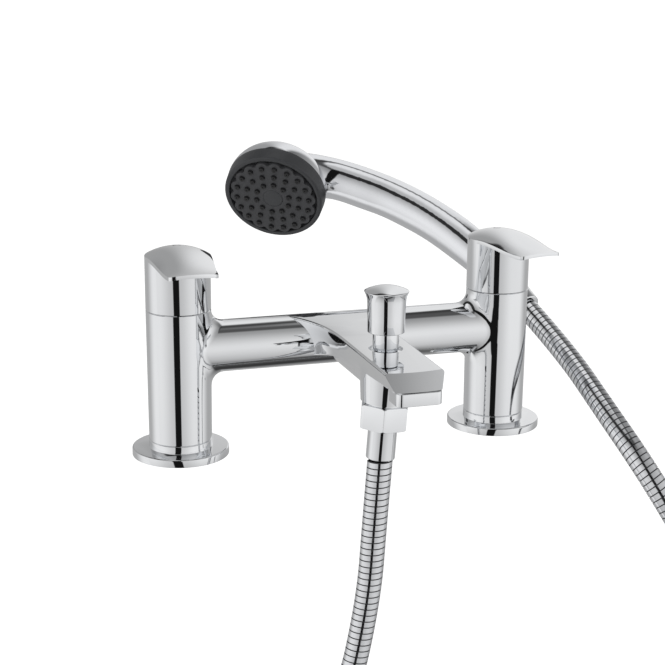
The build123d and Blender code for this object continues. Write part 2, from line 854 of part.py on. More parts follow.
def handset_shell():
    seat_radius = head_pocket_radius - handset_wall
    shell = on_face(head_dome(rim_radius, head_depth)) + grip(0, 0)
    shell = shell - on_face(rod(-rim_depth, 2 * head_depth, rim_radius + cut_overrun))
    hollow = on_face(head_dome(seat_radius, head_depth - handset_wall)) + grip(handset_wall, cut_overrun)
    shell = shell - hollow
    pocket_low = rim_depth + mat_seat_width + face_seal_thickness
    return shell - on_face(rod(-pocket_low, 0, head_pocket_radius))


def face_ring():
    outer = rod(-rim_depth, 0, rim_radius, 0, 0, face_radius)
    outer = fillet(top_circle(outer), rim_edge_radius)
    seat_low = -rim_depth - mat_seat_width
    spigot = rod(seat_low, -mat_floor - water_plate_thickness, head_pocket_radius - fit_gap)
    opening = rod(seat_low - cut_overrun, cut_overrun, mat_radius - mat_seat_width)
    mat_bed = rod(-mat_floor - water_plate_thickness, cut_overrun, mat_radius + mat_seat_width)
    return on_face(outer + spigot - opening - mat_bed)


def face_seal():
    high = -rim_depth - mat_seat_width
    inner = head_pocket_radius - handset_wall
    return on_face(ring(high - face_seal_thickness, high, inner, head_pocket_radius - fit_gap))


def jet_places():
    places = []
    for radius, count in zip(jet_ring_radii, jet_ring_counts):
        for index in range(count):
            angle = 2 * pi * (index + count % 4 / 4) / count
            places.append((radius * cos(angle), radius * sin(angle)))
    return places


def spray_mat():
    outline = Circle(jet_ring_radius_3 + lobe_radius / 2)
    lobe_count = jet_ring_counts[-1]
    for x, y in jet_places()[-lobe_count:]:
        outline = outline + Pos(x, y) * Circle(lobe_radius)
    mat = Pos(0, 0, -mat_thickness) * extrude(outline, mat_thickness + mat_proud)
    mat = mat + rod(-mat_floor, -mat_thickness, mat_radius + mat_seat_width - fit_gap)
    tip_z = mat_proud + jet_height
    jets = [rod(0, tip_z, jet_base_radius, x, y, jet_tip_radius) for x, y in jet_places()]
    holes = [rod(-mat_floor - cut_overrun, tip_z + cut_overrun, jet_hole_radius, x, y) for x, y in jet_places()]
    mat = mat.fuse(*[jet.solid() for jet in jets])
    middle = rod(-mat_floor - cut_overrun, mat_proud + cut_overrun, centre_disc_radius + fit_gap)
    return on_face(mat.cut(middle.solid(), *[hole.solid() for hole in holes]))


def centre_disc():
    disc = rod(-mat_floor, centre_disc_proud, centre_disc_radius)
    return on_face(fillet(top_circle(disc), centre_disc_edge_radius))


def water_plate():
    low = -mat_floor - water_plate_thickness
    plate = rod(low, -mat_floor, mat_radius + mat_seat_width - fit_gap)
    holes = [rod(low - cut_overrun, 0, water_plate_hole_radius, x, y) for x, y in jet_places()]
    return on_face(plate.cut(*[hole.solid() for hole in holes]))


# Handset's hose end

def handset_inlet():
    thread_low = end_nut_length - inlet_thread_length
    plug_top = end_nut_length + inlet_plug_length
    body = rod(thread_low, plug_top, inlet_thread_radius)
    body = body + rod(end_nut_length, plug_top, tail_radius - handset_wall - fit_gap)
    return on_end(body - rod(thread_low - cut_overrun, plug_top + cut_overrun, inlet_bore_radius))


def end_washer():
    high = end_nut_length - inlet_thread_length
    outer = end_nut_thread_radius - fit_gap
    return on_end(ring(high - end_washer_thickness, high, inlet_bore_radius, outer))


def end_nut_radius(distance):
    slope = (end_nut_top_radius - end_nut_low_radius) / end_nut_length
    return end_nut_low_radius + slope * distance


def end_nut():
    top = end_nut_length - fit_gap
    nut = rod(moving_gap, top, end_nut_radius(moving_gap), 0, 0, end_nut_radius(top))
    nut = chamfer(circle_edges(nut), seam_chamfer)
    nut = nut - rod(tail_flange_low - running_gap, end_nut_length + cut_overrun, end_nut_thread_radius)
    return on_end(nut - rod(-cut_overrun, end_nut_length, tail_sleeve_radius + running_gap))


def hose_tail():
    high = tail_flange_low + tail_flange_thickness
    body = rod(0, high, tail_sleeve_radius)
    body = body + rod(tail_flange_low, high, end_nut_thread_radius - running_gap)
    return on_end(body - rod(-cut_overrun, high + cut_overrun, tail_bore_radius))


# Cradle: an open ring round the conical nut, on a bent arm behind the right pillar

def cradle_bore():
    low = cradle_low - cut_overrun
    high = cradle_low + cradle_length + cut_overrun
    low_radius = end_nut_radius(low) + moving_gap
    return rod(low, high, low_radius, 0, 0, end_nut_radius(high) + moving_gap)


def cradle_middle():
    return end_plane(cradle_low + cradle_length / 2)


def cradle_down():
    axis = cradle_middle().z_dir
    fall = Vector(0, 0, -1)
    return (fall - axis * fall.dot(axis)).normalized()


def cradle_spoke(radius, start, end):
    down = cradle_down()
    plane = Plane(origin=cradle_middle().origin + down * start, z_dir=down)
    return plane.location * Cylinder(radius, end - start, align=(Align.CENTER, Align.CENTER, Align.MIN))


def cradle_outer_radius():
    return end_nut_radius(cradle_low + cradle_length / 2) + moving_gap + cradle_wall


def cradle_boss_end():
    return cradle_outer_radius() + cradle_boss_height


def cradle():
    high = cradle_low + cradle_length
    wall = moving_gap + cradle_wall
    band = rod(cradle_low, high, end_nut_radius(cradle_low) + wall, 0, 0, end_nut_radius(high) + wall)
    band = on_end(chamfer(circle_edges(band), cradle_edge))
    band = band + cradle_spoke(cradle_boss_radius, cradle_wall, cradle_boss_end())
    band = band - on_end(cradle_bore())
    middle = cradle_middle()
    mouth = Plane(origin=middle.origin, x_dir=middle.z_dir, z_dir=-cradle_down())
    reach = 2 * cradle_outer_radius()
    slot = Box(reach, cradle_slot_width, reach, align=(Align.CENTER, Align.CENTER, Align.MIN))
    return band - mouth.location * slot - cradle_screw_shape(fit_gap, moving_gap)


def cradle_screw_shape(gap, overrun=0):
    head_start = cradle_outer_radius() - cradle_wall + running_gap
    shaft_start = head_start + cradle_screw_head_height
    head = cradle_spoke(cradle_screw_head_radius + gap, head_start - overrun, shaft_start)
    return head + cradle_spoke(cradle_screw_radius + gap, head_start, shaft_start + cradle_screw_length)


def arm_anchor():
    elbow = arm_elbow()
    return Vector(pillar_spacing / 2, 0, elbow.Z)


def arm_elbow():
    return cradle_middle().origin + cradle_down() * arm_drop


def arm_piece(radius, start, end):
    anchor = arm_anchor()
    heading = (arm_elbow() - anchor).normalized()
    plane = Plane(origin=anchor + heading * start, z_dir=heading)
    return plane.location * Cylinder(radius, end - start, align=(Align.CENTER, Align.CENTER, Align.MIN))


def arm_stud(gap):
    start = pillar_base_radius - arm_stud_length
    return arm_piece(arm_stud_radius + gap, start - gap, pillar_top_radius + cut_overrun)


def cradle_arm():
    run = (arm_elbow() - arm_anchor()).length
    arm = arm_piece(arm_radius, pillar_base_radius - fit_gap, run)
    arm = arm + arm_piece(arm_collar_radius, pillar_base_radius - fit_gap, pillar_top_radius + arm_collar_length)
    pillar = rod(0, pillar_top_z, pillar_top_radius + fit_gap, pillar_spacing / 2)
    arm = arm - pillar + arm_stud(0)
    elbow = arm_elbow()
    arm = arm + Pos(elbow.X, elbow.Y, elbow.Z) * Sphere(arm_radius)
    arm = arm + cradle_spoke(arm_radius, cradle_boss_end(), arm_drop)
    return arm - cradle_screw_shape(fit_gap)


# Hose: a smooth route of runs and arcs, with a ribbed outside and a plain bore

def hose_points():
    outlet = outlet_plane()
    start = outlet.origin + outlet.z_dir * ferrule_low()
    first = start - outlet.z_dir * hose_first_run
    end = end_plane(0)
    last = end.origin + end.z_dir * hose_last_run
    return [start, first] + [Vector(*point) for point in hose_route] + [last, end.origin]


def hose_path():
    points = hose_points()
    radii = []
    for before, here, after in zip(points, points[1:], points[2:]):
        turn = radians((here - before).get_angle(after - here))
        shorter = min((here - before).length, (after - here).length)
        radii.append(arc_share * shorter / tan(turn / 2))
    print("hose arc radii", [round(radius) for radius in radii])
    return FilletPolyline(*points, radius=radii)


def hose_stations(length):
    straight = 2 * hose_radius
    pitch = (length - 2 * straight) / hose_rib_count
    stations = [(0.0, hose_radius - hose_rib_depth)]
    for index in range(hose_rib_count):
        for place_share, height_share in rib_shares:
            radius = hose_radius - hose_rib_depth * (1 - height_share)
            stations.append((straight + (index + place_share) * pitch, radius))
    stations.append((length, hose_radius - hose_rib_depth))
    return stations


def shower_hose():
    path = hose_path()
    length = path.length
    faces = []
    x_dir = Vector(0, 1, 0)
    for distance, radius in hose_stations(length):
        heading = path.tangent_at(distance / length)
        x_dir = (x_dir - heading * x_dir.dot(heading)).normalized()
        plane = Plane(origin=path.position_at(distance / length), x_dir=x_dir, z_dir=heading)
        faces.append(plane * Circle(radius))
    outer = loft(faces, ruled=True)
    start = Plane(origin=path.position_at(0), z_dir=path.tangent_at(0))
    bore = sweep(start * Circle(hose_bore_radius), path=path)
    hose = outer - bore
    section = pi * (hose_radius ** 2 - hose_bore_radius ** 2)
    print("hose length", round(length, 1), "volume", round(hose.volume), "plain tube", round(section * length))
    return hose


def pillar_pieces(side):
    x = side_x[side]
    pieces = {
        "_base_flange": base_flange(x),
        "_base_seal": base_seal(x),
        "_seat_seal": seat_seal(x),
        "_valve_body": valve_body(x),
        "_fixed_disc": fixed_disc(x),
        "_moving_disc": on_valve(side, moving_disc()),
        "_spindle": on_valve(side, spindle()),
        "_stem_seal": on_valve(side, stem_seal()),
    }
    for name, piece in handle_pieces(side).items():
        pieces[name] = on_valve(side, piece)
    return {side + name: piece for name, piece in pieces.items()}


def main():
    os.makedirs("parts", exist_ok=True)
    pieces = {
        "mixer_body": mixer_body(),
        "outlet_nozzle": outlet_nozzle(),
        "flow_straightener": flow_straightener(),
        "diverter_seat": diverter_seat(),
        "diverter_disc": diverter_disc(),
        "diverter_washers": diverter_washers(),
        "diverter_rod": diverter_rod(),
        "diverter_bonnet": diverter_bonnet(),
        "bonnet_seal": bonnet_seal(),
        "diverter_knob": diverter_knob(),
        "outlet_washer": outlet_washer(),
        "outlet_nut": outlet_nut(),
        "outlet_ferrule": outlet_ferrule(),
        "handset_shell": handset_shell(),
        "face_ring": face_ring(),
        "face_seal": face_seal(),
        "spray_mat": spray_mat(),
        "centre_disc": centre_disc(),
        "water_plate": water_plate(),
        "handset_inlet": handset_inlet(),
        "end_washer": end_washer(),
        "end_nut": end_nut(),
        "hose_tail": hose_tail(),
        "cradle": cradle(),
        "cradle_screw": cradle_screw_shape(0),
        "cradle_arm": cradle_arm(),
        "shower_hose": shower_hose(),
    }
    for side in side_x:
        pieces.update(pillar_pieces(side))
    for name, piece in pieces.items():
        save(name, piece)


if __name__ == "__main__":
    main()
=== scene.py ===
"""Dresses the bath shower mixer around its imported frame: chrome, spray face, hose and studio."""

import json
import logging
import math
from collections.abc import Iterable
from dataclasses import dataclass, field
from enum import Enum

import bpy
from mathutils import Matrix, Vector
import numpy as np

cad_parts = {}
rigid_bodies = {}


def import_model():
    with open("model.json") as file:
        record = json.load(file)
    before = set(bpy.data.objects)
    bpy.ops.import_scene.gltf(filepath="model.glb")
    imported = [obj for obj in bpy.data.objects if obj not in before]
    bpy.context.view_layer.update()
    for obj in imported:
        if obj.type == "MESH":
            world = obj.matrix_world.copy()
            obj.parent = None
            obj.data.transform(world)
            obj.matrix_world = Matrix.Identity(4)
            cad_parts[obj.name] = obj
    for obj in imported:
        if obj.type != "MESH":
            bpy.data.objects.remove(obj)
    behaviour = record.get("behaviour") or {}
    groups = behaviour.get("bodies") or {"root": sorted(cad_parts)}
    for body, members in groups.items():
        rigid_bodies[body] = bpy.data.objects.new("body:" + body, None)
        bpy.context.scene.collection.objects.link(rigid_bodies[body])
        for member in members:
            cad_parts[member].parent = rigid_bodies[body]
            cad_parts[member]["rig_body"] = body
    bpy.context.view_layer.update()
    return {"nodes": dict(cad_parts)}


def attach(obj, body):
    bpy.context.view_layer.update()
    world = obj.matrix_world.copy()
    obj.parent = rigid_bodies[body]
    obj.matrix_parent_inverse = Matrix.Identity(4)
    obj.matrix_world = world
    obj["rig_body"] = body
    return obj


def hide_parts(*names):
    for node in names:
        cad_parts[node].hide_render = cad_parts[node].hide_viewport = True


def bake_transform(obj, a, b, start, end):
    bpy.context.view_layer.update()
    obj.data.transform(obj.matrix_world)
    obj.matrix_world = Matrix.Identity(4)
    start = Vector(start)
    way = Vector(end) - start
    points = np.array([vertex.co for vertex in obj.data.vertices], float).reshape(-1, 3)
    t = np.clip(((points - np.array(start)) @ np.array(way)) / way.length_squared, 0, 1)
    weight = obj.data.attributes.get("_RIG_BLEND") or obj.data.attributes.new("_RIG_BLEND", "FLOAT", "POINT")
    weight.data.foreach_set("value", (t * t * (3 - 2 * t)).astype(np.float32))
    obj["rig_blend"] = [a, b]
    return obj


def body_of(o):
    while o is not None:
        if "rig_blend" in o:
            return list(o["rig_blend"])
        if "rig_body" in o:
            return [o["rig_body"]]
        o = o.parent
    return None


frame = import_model()

log = logging.getLogger("bath_mixer")

MERGE_DISTANCE = 2e-6
FLAT_ANGLE = math.radians(0.4)
SMOOTH_ANGLE = math.radians(32.0)
BEVEL_ANGLE = math.radians(38.0)
BEVEL_STEPS = 3
COARSE_SHARE = 8
COARSE_DETAIL = 3.0
FINE_DETAIL = 6.0
GRAIN_SPAN = (0.3, 0.7)
LEAST_ROUGHNESS = 0.02
TINY = 1e-4
MOST_COSINE = 0.99999
WHITE = (1.0, 1.0, 1.0, 1.0)


class Slot(Enum):
    """The record's material slots."""

    CHROME = "chrome_plated_brass"
    PLATED_PLASTIC = "plated_plastic"
    HOSE_STEEL = "hose_steel"
    BRASS = "raw_brass"
    RUBBER = "black_rubber"
    CERAMIC = "disc_white"
    NYLON = "bush_nylon"
    SCREW = "steel_screw"
    FACE_GREY = "face_grey"
    MAT_RUBBER = "mat_rubber"
    HOT = "hot_mark"
    COLD = "cold_mark"


class Side(Enum):
    """The two pillars of the mixer."""

    LEFT = "left"
    RIGHT = "right"


class Wiring:
    """Adds shader nodes to a node tree and joins them."""

    def __init__(self, tree: bpy.types.NodeTree) -> None:
        """Keeps the tree and empties it."""
        self.tree = tree
        tree.nodes.clear()

    def add(self, kind: str, **values: object) -> bpy.types.Node:
        """Adds one node.

        Args:
            kind: the node's Blender type.
            values: attributes to set on it.

        Returns:
            The new node.
        """
        node = self.tree.nodes.new(kind)
        for key, value in values.items():
            setattr(node, key, value)
        return node

    def join(self, source: bpy.types.NodeSocket, target: bpy.types.NodeSocket) -> None:
        """Links an output to an input."""
        self.tree.links.new(source, target)

    def feed(self, socket: bpy.types.NodeSocket, value: object) -> None:
        """Puts a number or another node's output on an input."""
        if isinstance(value, bpy.types.NodeSocket):
            self.join(value, socket)
        else:
            socket.default_value = value

    def sum(self, operation: str, *values: object, clamp: bool = False) -> bpy.types.NodeSocket:
        """Adds a Math node.

        Args:
            operation: Blender's name of the operation.
            values: numbers or outputs, in the node's order.
            clamp: whether the result stays between 0 and 1.

        Returns:
            The node's output.
        """
        node = self.add("ShaderNodeMath", operation=operation, use_clamp=clamp)
        for socket, value in zip(node.inputs, values):
            self.feed(socket, value)
        return node.outputs[0]

    def range(self, value: object, low: object, high: object, start: object,
              end: object) -> bpy.types.NodeSocket:
        """Maps a value from low..high to start..end with soft ends, each a number or an output.

        Args:
            value: what is mapped.
            low: where the change begins.
            high: where it ends.
            start: the result at low.
            end: the result at high.

        Returns:
            The node's output.
        """
        node = self.add("ShaderNodeMapRange", interpolation_type="SMOOTHSTEP")
        self.feed(node.inputs["Value"], value)
        limits = {"From Min": low, "From Max": high, "To Min": start, "To Max": end}
        for key, limit in limits.items():
            self.feed(node.inputs[key], limit)
        return node.outputs["Result"]


@dataclass(frozen=True)
class Finish:
    """A procedural surface finish."""

    name: str
    colour: tuple[float, float, float]
    second_colour: tuple[float, float, float]
    metallic: float
    roughness: float
    roughness_spread: float
    grain: float
    bump_depth: float
    bump_strength: float = 0.3

    def material(self) -> bpy.types.Material:
        """Makes the material once, and gives the same one after that.

        Returns:
            The node-based material.
        """
        made = bpy.data.materials.get(self.name)
        if made:
            return made
        made = bpy.data.materials.new(self.name)
        made.use_nodes = True
        made.diffuse_color = (*self.colour, 1.0)
        wires = Wiring(made.node_tree)
        place = wires.add("ShaderNodeTexCoord")
        coarse = wires.add("ShaderNodeTexNoise")
        coarse.inputs["Scale"].default_value = self.grain / COARSE_SHARE
        coarse.inputs["Detail"].default_value = COARSE_DETAIL
        fine = wires.add("ShaderNodeTexNoise")
        fine.inputs["Scale"].default_value = self.grain
        fine.inputs["Detail"].default_value = FINE_DETAIL
        wires.join(place.outputs["Object"], coarse.inputs["Vector"])
        wires.join(place.outputs["Object"], fine.inputs["Vector"])
        tone = wires.add("ShaderNodeMix", data_type="RGBA")
        wires.join(coarse.outputs["Fac"], tone.inputs["Factor"])
        tone.inputs["A"].default_value = (*self.colour, 1.0)
        tone.inputs["B"].default_value = (*self.second_colour, 1.0)
        surface = wires.add("ShaderNodeBsdfPrincipled")
        wires.join(tone.outputs["Result"], surface.inputs["Base Color"])
        surface.inputs["Metallic"].default_value = self.metallic
        low = max(self.roughness - self.roughness_spread, LEAST_ROUGHNESS)
        high = self.roughness + self.roughness_spread
        rough = wires.range(fine.outputs["Fac"], *GRAIN_SPAN, low, high)
        wires.join(rough, surface.inputs["Roughness"])
        bump = wires.add("ShaderNodeBump")
        bump.inputs["Strength"].default_value = self.bump_strength
        bump.inputs["Distance"].default_value = self.bump_depth
        wires.join(fine.outputs["Fac"], bump.inputs["Height"])
        wires.join(bump.outputs["Normal"], surface.inputs["Normal"])
        output = wires.add("ShaderNodeOutputMaterial")
        wires.join(surface.outputs["BSDF"], output.inputs["Surface"])
        return made


CHROME = Finish("polished_chrome", (0.86, 0.87, 0.88), (0.83, 0.84, 0.86),
                1.0, 0.035, 0.012, 260.0, 2e-6, 0.05)
PLATED = Finish("plated_plastic_chrome", (0.84, 0.85, 0.87), (0.81, 0.82, 0.85),
                1.0, 0.05, 0.015, 220.0, 3e-6, 0.06)
HOSE_STEEL = Finish("hose_steel_strip", (0.8, 0.81, 0.83), (0.74, 0.75, 0.77),
                    1.0, 0.12, 0.04, 600.0, 4e-6, 0.1)
BRASS = Finish("machined_brass", (0.78, 0.6, 0.32), (0.7, 0.52, 0.26),
               1.0, 0.3, 0.08, 900.0, 8e-6)
RUBBER = Finish("seal_rubber", (0.03, 0.03, 0.032), (0.022, 0.022, 0.024),
                0.0, 0.62, 0.08, 1400.0, 1e-5)
CERAMIC = Finish("ground_ceramic", (0.92, 0.91, 0.88), (0.88, 0.87, 0.84),
                 0.0, 0.25, 0.05, 1200.0, 3e-6)
NYLON = Finish("moulded_nylon", (0.85, 0.85, 0.83), (0.8, 0.8, 0.78),
               0.0, 0.45, 0.06, 800.0, 6e-6)
STEEL = Finish("plain_steel", (0.55, 0.55, 0.56), (0.48, 0.48, 0.5),
               1.0, 0.32, 0.06, 900.0, 5e-6)
FACE_GREY = Finish("satin_face_plastic", (0.05, 0.052, 0.056), (0.042, 0.044, 0.048),
                   0.0, 0.42, 0.06, 1800.0, 1.2e-5, 0.4)
MAT_GREY = Finish("mat_grey_rubber", (0.068, 0.069, 0.074), (0.056, 0.057, 0.061),
                  0.0, 0.55, 0.07, 2200.0, 1.6e-5, 0.5)
JET_BLACK = Finish("jet_black_rubber", (0.012, 0.012, 0.013), (0.008, 0.008, 0.009),
                   0.0, 0.4, 0.06, 2200.0, 1e-5)
LETTER_GREY = Finish("letter_fill", (0.16, 0.16, 0.17), (0.13, 0.13, 0.14),
                     0.0, 0.4, 0.05, 1500.0, 4e-6)
# Dark grey for the hose's groove rows: painted shade in the groove between windings.
HOSE_GROOVE_SHADE = Finish("hose_groove_painted_shade", (0.12, 0.12, 0.125), (0.09, 0.09, 0.095),
                     0.8, 0.45, 0.08, 900.0, 4e-6)


def select_only(*pieces: bpy.types.Object) -> None:
    """Selects these objects alone, the last one active.

    Args:
        pieces: the objects, or none to clear the selection.
    """
    for item in bpy.context.view_layer.objects:
        item.select_set(False)
    for piece in pieces:
        piece.select_set(True)
        bpy.context.view_layer.objects.active = piece


def mesh_piece(name: str, mesh: bpy.types.Mesh) -> bpy.types.Object:
    """Puts a mesh into the scene under a plain name, alone selected.

    Args:
        name: the piece's name.
        mesh: its mesh.

    Returns:
        The new piece.
    """
    piece = bpy.data.objects.new(name, mesh)
    bpy.context.scene.collection.objects.link(piece)
    select_only(piece)
    return piece


def dress(piece: bpy.types.Object, *finishes: Finish) -> None:
    """Gives a new piece its materials, the first one everywhere.

    Args:
        piece: the piece.
        finishes: its finishes, in the order of its material places.
    """
    piece.data.materials.clear()
    for finish in finishes:
        piece.data.materials.append(finish.material())


def smooth(piece: bpy.types.Object, angle: float = SMOOTH_ANGLE) -> None:
    """Shades a piece smooth up to an angle between faces."""
    select_only(piece)
    bpy.ops.object.shade_smooth_by_angle(angle=angle, keep_sharp_edges=False)


def soften_edges(piece: bpy.types.Object, width: float) -> None:
    """Rounds the sharp edges of a piece and applies the rounding.

    Args:
        piece: the piece.
        width: how far the rounding reaches from the edge.
    """
    select_only(piece)
    rounding = piece.modifiers.new("edge_rounding", "BEVEL")
    rounding.limit_method = "ANGLE"
    rounding.angle_limit = BEVEL_ANGLE
    rounding.width = width
    rounding.segments = BEVEL_STEPS
    rounding.use_clamp_overlap = True
    bpy.ops.object.modifier_apply(modifier=rounding.name)


def clean_copy(node: str, name: str) -> bpy.types.Object:
    """Copies a CAD node's mesh into a new piece, joined up and with flat faces whole.

    Args:
        node: the CAD node.
        name: the new piece's name.

    Returns:
        The new piece.
    """
    mesh = frame["nodes"][node].data.copy()
    piece = mesh_piece(name, mesh)
    if mesh.has_custom_normals:
        bpy.ops.mesh.customdata_custom_splitnormals_clear()
    bpy.ops.object.mode_set(mode="EDIT")
    bpy.ops.mesh.select_all(action="SELECT")
    bpy.ops.mesh.remove_doubles(threshold=MERGE_DISTANCE)
    bpy.ops.mesh.dissolve_limited(angle_limit=FLAT_ANGLE)
    bpy.ops.object.mode_set(mode="OBJECT")
    return piece


@dataclass(frozen=True)
class PolishedPart:
    """A CAD node that is shown as a smoothed copy of itself."""

    node: str
    name: str
    finish: Finish
    slot: Slot
    edge: float = 0.0

    def build(self) -> bpy.types.Object:
        """Makes the copy, rounds and smooths it, and puts it in the node's place.

        Returns:
            The finished piece.
        """
        piece = clean_copy(self.node, self.name)
        if self.edge:
            soften_edges(piece, self.edge)
        smooth(piece)
        dress(piece, self.finish)
        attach(piece, body_of(frame["nodes"][self.node])[0])
        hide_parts(self.node)
        log.info("%s stands for %s", self.name, self.node)
        return piece


def dress_node(node: str, finish: Finish) -> None:
    """Gives a CAD node that stays its material.

    Args:
        node: the CAD node.
        finish: its finish.
    """
    item = frame["nodes"][node]
    if not item.material_slots:
        item.data.materials.append(finish.material())
    for holder in item.material_slots:
        holder.material = finish.material()
    log.info("%s keeps its own mesh in %s", node, finish.name)


@dataclass(frozen=True)
class Bearings:
    """A direction's parts: toward the camera, across its view, along the ground, and its two angles."""

    toward: bpy.types.NodeSocket
    across: bpy.types.NodeSocket
    flat: bpy.types.NodeSocket
    azimuth: bpy.types.NodeSocket
    rise: bpy.types.NodeSocket


@dataclass
class Studio:
    """The camera, floor, world and lamp.

    A reach is where a tone begins and ends to change, and the tones are the brightness at both.
    """

    place: Vector = field(default_factory=lambda: Vector((-0.25033, -0.74932, 0.26597)))
    yaw: float = math.radians(18.077)
    pitch: float = math.radians(14.677)
    roll: float = math.radians(0.461)
    lens: float = 81.84
    sensor: float = 36.0
    floor_z: float = -0.492
    floor_size: float = 60.0
    floor_lift: float = 0.75
    floor_colour: tuple = (0.8, 0.8, 0.8, 1.0)
    slit_turn: float = math.radians(-4.5)
    slit_half_width: float = math.radians(10.5)
    slit_edge: tuple = (0.9, 1.15)
    front_reach: tuple = (math.radians(8), math.radians(62))
    front_tones: tuple = (0.66, 0.93)
    side_reach: tuple = (math.radians(88), math.radians(128))
    side_tones: tuple = (1.0, 0.5)
    # Painted shadow round the mixer on the floor as glossy rays see it, lifted towards the left.
    shade_top: float = 1.04
    shade_reach: float = 0.2
    left_reach: tuple = (math.radians(-40), math.radians(-80))
    left_tones: tuple = (0.08, 0.95)
    dark_tone: float = 0.008
    height_reach: tuple = (math.radians(0), math.radians(66))
    height_tones: tuple = (1.0, 0.34)
    back_reach: tuple = (-0.3, 0.22)
    back_tones: tuple = (0.36, 0.86)
    back_share: tuple = (-0.75, -0.93)
    roof_bearing: float = -60.0
    roof_lean: float = 9.0
    roof_spread: float = math.radians(29.0)
    roof_edge: float = 0.7
    roof_reach: tuple = (0.25, -0.05)
    roof_tones: tuple = (0.5, 0.86)
    seam_reach: tuple = (-0.35, 0.1)
    seam_inner: tuple = (math.radians(7.5), math.radians(2.0))
    seam_outer: tuple = (math.radians(10.5), math.radians(7.0))
    seam_tones: tuple = (0.06, 0.26)
    lamp_place: Vector = field(default_factory=lambda: Vector((-0.9, -1.2, 0.8)))
    lamp_aim: Vector = field(default_factory=lambda: Vector((0.0, 0.0, 0.05)))
    lamp_size: float = 1.2
    lamp_power: float = 9.0

    def camera(self) -> None:
        """Puts the camera at the photograph's place and angle."""
        forward = Vector((math.sin(self.yaw) * math.cos(self.pitch),
                          math.cos(self.yaw) * math.cos(self.pitch), -math.sin(self.pitch)))
        level = Vector((math.cos(self.yaw), -math.sin(self.yaw), 0.0))
        upright = level.cross(forward)
        right = math.cos(self.roll) * level + math.sin(self.roll) * upright
        up = math.cos(self.roll) * upright - math.sin(self.roll) * level
        data = bpy.data.cameras.new("camera")
        data.sensor_fit = "HORIZONTAL"
        data.sensor_width = self.sensor
        data.lens = self.lens
        eye = bpy.data.objects.new("camera", data)
        turn = Matrix((right, up, -forward)).transposed()
        eye.matrix_world = Matrix.Translation(self.place) @ turn.to_4x4()
        bpy.context.scene.collection.objects.link(eye)
        bpy.context.scene.camera = eye

    def bearings(self, wires: Wiring, way: bpy.types.NodeSocket) -> Bearings:
        """Splits a direction from the mixer by the camera's own bearing.

        Args:
            wires: the node tree's wiring.
            way: the direction, of any length.

        Returns:
            The direction's parts.
        """
        axes = wires.add("ShaderNodeSeparateXYZ")
        wires.join(way, axes.inputs[0])
        x, y, z = axes.outputs
        toward = wires.sum("ADD", wires.sum("MULTIPLY", x, -math.sin(self.yaw)),
                           wires.sum("MULTIPLY", y, -math.cos(self.yaw)))
        across = wires.sum("ADD", wires.sum("MULTIPLY", x, math.cos(self.yaw)),
                           wires.sum("MULTIPLY", y, -math.sin(self.yaw)))
        flat = wires.sum("SQRT", wires.sum("ADD", wires.sum("MULTIPLY", toward, toward),
                                           wires.sum("MULTIPLY", across, across)))
        azimuth = wires.sum("ARCTAN2", across, toward)
        rise = wires.sum("ARCTAN2", z, flat)
        return Bearings(toward, across, flat, azimuth, rise)

    def ring(self, wires: Wiring, at: Bearings) -> bpy.types.NodeSocket:
        """Works out the brightness of the upright panels that stand round the mixer.

        Args:
            wires: the node tree's wiring.
            at: the direction.

        Returns:
            The brightness, with the dark gap that the camera stands in.
        """
        off = wires.sum("ABSOLUTE", wires.sum("SUBTRACT", at.azimuth, self.slit_turn))
        front = wires.range(off, *self.front_reach, *self.front_tones)
        turn = wires.sum("ABSOLUTE", at.azimuth)
        side = wires.range(turn, *self.side_reach, *self.side_tones)
        inner, outer = (self.slit_half_width * share for share in self.slit_edge)
        slit = wires.range(off, inner, outer, 0.0, 1.0)
        return wires.sum("MULTIPLY", wires.sum("MULTIPLY", front, side), slit)

    def floor(self) -> None:
        """Lays the pale floor well under the hanging hose; in glossy rays it glows with painted panels and a
        painted shadow round the mixer.
        """
        select_only()
        bpy.ops.mesh.primitive_plane_add(size=self.floor_size, location=(0.0, 0.0, self.floor_z))
        ground = bpy.context.object
        ground.name = "studio_floor"
        bpy.ops.object.transform_apply(location=True, rotation=True, scale=True)
        made = bpy.data.materials.new("studio_floor")
        made.use_nodes = True
        wires = Wiring(made.node_tree)
        place = wires.add("ShaderNodeTexCoord")
        pale = wires.add("ShaderNodeBsdfDiffuse")
        pale.inputs["Color"].default_value = self.floor_colour
        rays = wires.add("ShaderNodeLightPath")
        lift = wires.add("ShaderNodeEmission")
        strength = wires.sum("MULTIPLY", rays.outputs["Is Camera Ray"], self.floor_lift)
        wires.join(strength, lift.inputs["Strength"])
        plain = wires.add("ShaderNodeAddShader")
        wires.join(pale.outputs["BSDF"], plain.inputs[0])
        wires.join(lift.outputs["Emission"], plain.inputs[1])
        # Glossy rays see a glowing floor, not a lit one: painted reflection of the panels with their dark
        # gap, and a painted shadow round the mixer that fades outwards and lightens towards the left.
        at = self.bearings(wires, place.outputs["Object"])
        shade = wires.sum("DIVIDE", self.shade_reach, at.flat)
        painted_shadow_near = wires.sum("SUBTRACT", self.shade_top, shade, clamp=True)
        left = wires.range(at.azimuth, *self.left_reach, *self.left_tones)
        level = wires.sum("MULTIPLY", self.ring(wires, at), wires.sum("MAXIMUM", painted_shadow_near, left))
        painted_reflection_glow = wires.add("ShaderNodeEmission")
        wires.join(wires.sum("ADD", level, self.dark_tone), painted_reflection_glow.inputs["Strength"])
        choose = wires.add("ShaderNodeMixShader")
        wires.join(rays.outputs["Is Glossy Ray"], choose.inputs["Fac"])
        wires.join(plain.outputs["Shader"], choose.inputs[1])
        wires.join(painted_reflection_glow.outputs["Emission"], choose.inputs[2])
        output = wires.add("ShaderNodeOutputMaterial")
        wires.join(choose.outputs["Shader"], output.inputs["Surface"])
        ground.data.materials.append(made)

